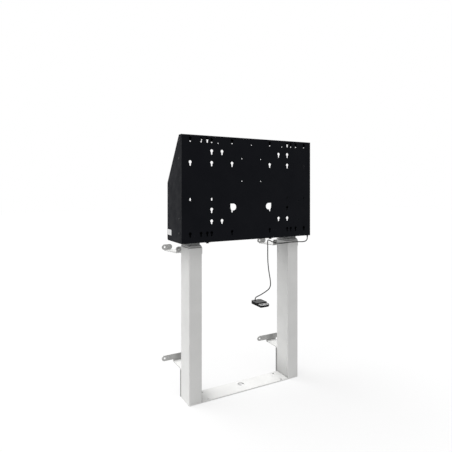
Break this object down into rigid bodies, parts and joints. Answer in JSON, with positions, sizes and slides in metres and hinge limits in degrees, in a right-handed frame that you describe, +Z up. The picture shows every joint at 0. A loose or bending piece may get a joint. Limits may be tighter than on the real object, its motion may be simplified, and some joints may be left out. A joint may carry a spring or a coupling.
{
  "type": "tv lift mechanism",
  "caption": "Floor-standing, wall-tied electric display lift: telescopic columns on a base plate raise a black sheet-metal mounting head, with a corded keypad handset.",
  "frame": {"origin": "on the floor, midway between the columns and midway between the display plate's face and the wall", "axes": "+X right as seen from the front, +Y towards the wall, +Z up along the columns"},
  "size_m": [0.692, 0.223, 1.152],
  "materials": {
    "column_white": "fine satin white powder coat",
    "head_black": "fine-textured matt black powder coat",
    "bracket_grey": "dull zinc-plated sheet steel",
    "inner_steel": "satin grey powder coat",
    "bright_steel": "bright zinc plate",
    "glide_plastic": "matt moulded acetal",
    "white_plastic": "matt moulded acetal, off-white",
    "bronze": "machined bronze",
    "gearbox_grey": "die-cast, as cast",
    "motor_black": "satin black paint",
    "control_plastic": "textured black moulding",
    "cable_rubber": "smooth matt PVC sheath",
    "handset_black": "fine-textured black moulding",
    "handset_top": "fine-textured dark grey moulding",
    "keypad_grey": "smooth light grey film",
    "key_grey": "smooth grey moulding"
  },
  "bodies": {
    "frame": {"base_plate": "column_white", "bracket_screws": "bright_steel", "foot_bolts": "bright_steel", "left_column_strap": "column_white", "left_foot_plate": "bright_steel", "left_lower_bracket": "bracket_grey", "left_outer_column": "column_white", "left_push_tube": "bright_steel", "left_spindle_nut": "bronze", "left_top_glide": "white_plastic", "left_upper_bracket": "bracket_grey", "right_column_strap": "column_white", "right_foot_plate": "bright_steel", "right_lower_bracket": "bracket_grey", "right_outer_column": "column_white", "right_push_tube": "bright_steel", "right_spindle_nut": "bronze", "right_top_glide": "white_plastic", "right_upper_bracket": "bracket_grey"},
    "carriage": {"cable_clips": "cable_rubber", "cable_grommet": "cable_rubber", "carrier_beam": "head_black", "cheek_screws": "motor_black", "control_box": "control_plastic", "control_lid": "control_plastic", "front_pan": "head_black", "handset_cable": "cable_rubber", "handset_cover": "handset_top", "handset_gland": "cable_rubber", "handset_shell": "handset_black", "head_bolts": "bright_steel", "keypad": "keypad_grey", "left_cheek": "head_black", "left_gearbox": "gearbox_grey", "left_glide_pads": "glide_plastic", "left_head_plate": "inner_steel", "left_inner_column": "inner_steel", "left_motor": "motor_black", "left_spindle_bearing": "bright_steel", "right_cheek": "head_black", "right_gearbox": "gearbox_grey", "right_glide_pads": "glide_plastic", "right_head_plate": "inner_steel", "right_inner_column": "inner_steel", "right_motor": "motor_black", "right_spindle_bearing": "bright_steel"},
    "left_spindle": {"left_spindle": "bright_steel"},
    "right_spindle": {"right_spindle": "bright_steel"},
    "up_key": {"up_key": "key_grey"},
    "down_key": {"down_key": "key_grey"}
  },
  "joints": [
    {"name": "lift", "type": "slide", "parent": "frame", "child": "carriage", "axis": [0, 0, 1], "range_m": [0, 0.5]},
    {"name": "left_spindle_turn", "type": "hinge", "parent": "carriage", "child": "left_spindle", "pos_m": [-0.26, -0.03065, 0.7], "axis": [0, 0, 1], "range_deg": [0, 18000]},
    {"name": "right_spindle_turn", "type": "hinge", "parent": "carriage", "child": "right_spindle", "pos_m": [0.26, -0.03065, 0.7], "axis": [0, 0, 1], "range_deg": [0, 18000]},
    {"name": "up_key_press", "type": "slide", "parent": "carriage", "child": "up_key", "axis": [0, 0.0605, -0.9982], "range_m": [0, 0.0008], "stiffness_N_per_m": 1500},
    {"name": "down_key_press", "type": "slide", "parent": "carriage", "child": "down_key", "axis": [0, 0.0605, -0.9982], "range_m": [0, 0.0008], "stiffness_N_per_m": 1500}
  ],
  "couplings": [
    {"joint": "left_spindle_turn", "follows": "lift", "rad_per_m": 628.32},
    {"joint": "right_spindle_turn", "follows": "lift", "rad_per_m": 628.32}
  ]
}
